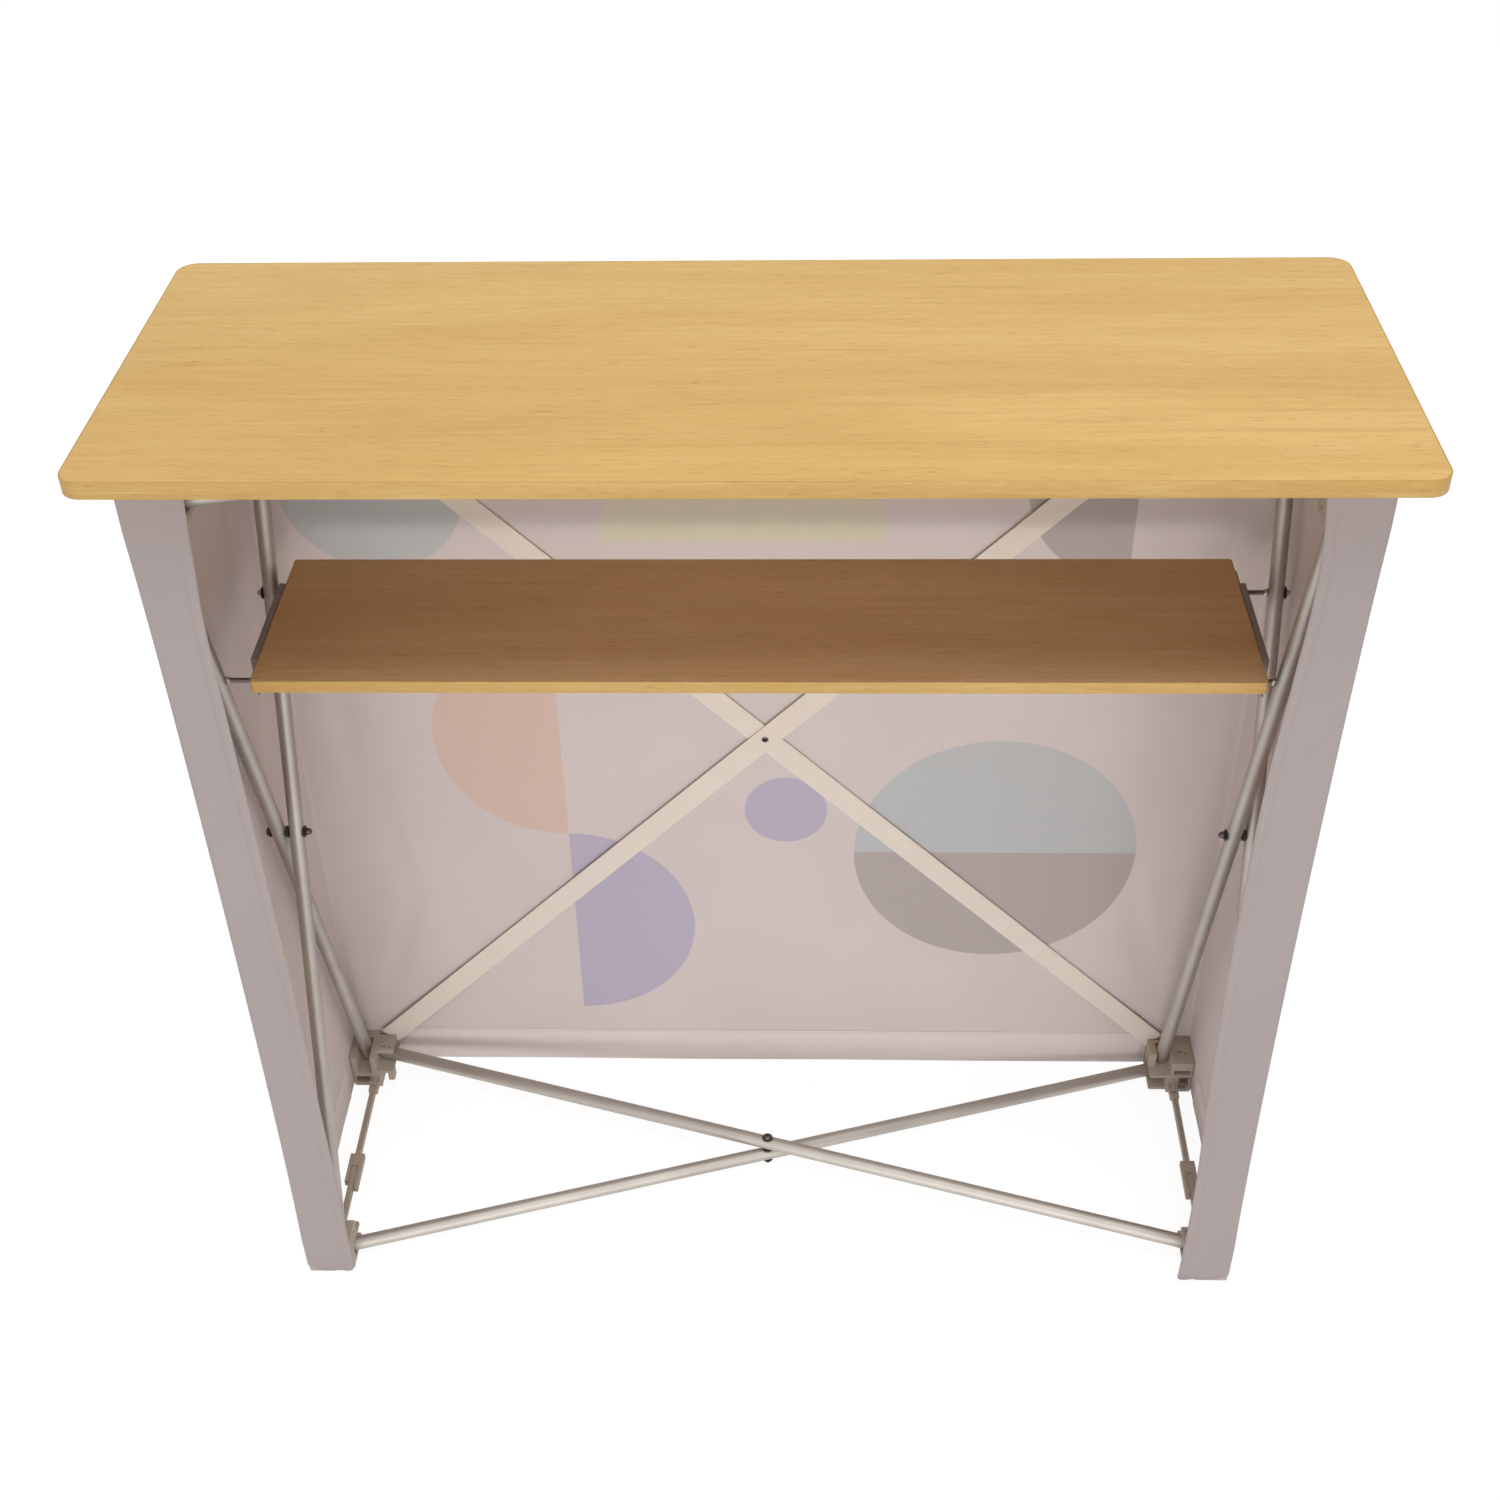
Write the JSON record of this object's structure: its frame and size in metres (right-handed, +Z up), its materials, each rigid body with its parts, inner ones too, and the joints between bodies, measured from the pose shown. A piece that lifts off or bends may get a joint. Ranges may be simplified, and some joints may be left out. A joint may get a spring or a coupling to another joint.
{
  "type": "exhibition counter",
  "caption": "Pop-up exhibition counter: wood-finish top and shelf on a folding frame of crossed bars and moulded corner hubs, wrapped in stretched printed cloth.",
  "frame": {"origin": "on the floor below the middle of the worktop", "axes": "+X to the operator's right along the counter, +Y towards the customer's side, +Z up"},
  "size_m": [1.05, 0.387, 1.0133],
  "materials": {
    "board": "satin beech-pattern laminate on board, with a matching edge band",
    "bar_aluminium": "satin anodised drawn tube",
    "hub_nylon": "moulded grey-beige glass-filled nylon",
    "fastener_steel": "zinc-plated",
    "spacer_nylon": "black moulded nylon",
    "bracket_steel": "grey powder coat on folded steel",
    "webbing": "woven cream polyester webbing",
    "cloth": "dye-printed stretch polyester knit with a stitched hem"
  },
  "bodies": {
    "frame": {"side_bar_left_outer": "bar_aluminium", "side_bar_left_inner": "bar_aluminium", "side_bar_right_outer": "bar_aluminium", "side_bar_right_inner": "bar_aluminium", "base_bar_upper": "bar_aluminium", "base_bar_lower": "bar_aluminium", "top_bar_upper": "bar_aluminium", "top_bar_lower": "bar_aluminium", "hub_base_front_left": "hub_nylon", "hub_base_front_right": "hub_nylon", "hub_base_rear_left": "hub_nylon", "hub_base_rear_right": "hub_nylon", "hub_top_front_left": "hub_nylon", "hub_top_front_right": "hub_nylon", "hub_top_rear_left": "hub_nylon", "hub_top_rear_right": "hub_nylon", "hub_pin_base_front_left": "fastener_steel", "hub_pin_base_front_right": "fastener_steel", "hub_pin_base_rear_left": "fastener_steel", "hub_pin_base_rear_right": "fastener_steel", "hub_pin_top_front_left": "fastener_steel", "hub_pin_top_front_right": "fastener_steel", "hub_pin_top_rear_left": "fastener_steel", "hub_pin_top_rear_right": "fastener_steel", "side_cross_left_bolt": "fastener_steel", "side_cross_left_spacer": "spacer_nylon", "side_cross_left_nut": "fastener_steel", "side_cross_right_bolt": "fastener_steel", "side_cross_right_spacer": "spacer_nylon", "side_cross_right_nut": "fastener_steel", "base_cross_bolt": "fastener_steel", "base_cross_spacer": "spacer_nylon", "base_cross_nut": "fastener_steel", "top_cross_bolt": "fastener_steel", "top_cross_spacer": "spacer_nylon", "top_cross_nut": "fastener_steel", "shelf_pin_front_left": "fastener_steel", "shelf_pin_front_right": "fastener_steel", "shelf_pin_rear_left": "fastener_steel", "shelf_pin_rear_right": "fastener_steel", "shelf_nut_front_left": "fastener_steel", "shelf_nut_front_right": "fastener_steel", "shelf_nut_rear_left": "fastener_steel", "shelf_nut_rear_right": "fastener_steel", "band_rear": "webbing", "band_front": "webbing", "band_eyelet": "fastener_steel", "cloth_front": "cloth", "cloth_end_left": "cloth", "cloth_end_right": "cloth", "cloth_return_left": "cloth", "cloth_return_right": "cloth"},
    "worktop": {"worktop": "board"},
    "shelf": {"shelf_board": "board", "shelf_bracket_left": "bracket_steel", "shelf_bracket_right": "bracket_steel"},
    "lock_arm_base_left": {"lock_arm_base_left": "hub_nylon"},
    "lock_arm_base_right": {"lock_arm_base_right": "hub_nylon"},
    "lock_arm_top_left": {"lock_arm_top_left": "hub_nylon"},
    "lock_arm_top_right": {"lock_arm_top_right": "hub_nylon"}
  },
  "joints": [
    {"name": "worktop_lift", "type": "slide", "parent": "frame", "child": "worktop", "axis": [0, 0, 1], "range_m": [0, 0.1]},
    {"name": "shelf_lift", "type": "slide", "parent": "frame", "child": "shelf", "axis": [0, 0, 1], "range_m": [0, 0.1]},
    {"name": "base_left_lock_hinge", "type": "hinge", "parent": "frame", "child": "lock_arm_base_left", "pos_m": [-0.4685, 0.1015, 0.014], "axis": [-1, 0, 0], "range_deg": [0, 75]},
    {"name": "base_right_lock_hinge", "type": "hinge", "parent": "frame", "child": "lock_arm_base_right", "pos_m": [0.4735, 0.1015, 0.014], "axis": [-1, 0, 0], "range_deg": [0, 75]},
    {"name": "top_left_lock_hinge", "type": "hinge", "parent": "frame", "child": "lock_arm_top_left", "pos_m": [-0.4735, 0.1015, 0.984], "axis": [1, 0, 0], "range_deg": [0, 75]},
    {"name": "top_right_lock_hinge", "type": "hinge", "parent": "frame", "child": "lock_arm_top_right", "pos_m": [0.4685, 0.1015, 0.984], "axis": [1, 0, 0], "range_deg": [0, 75]}
  ]
}
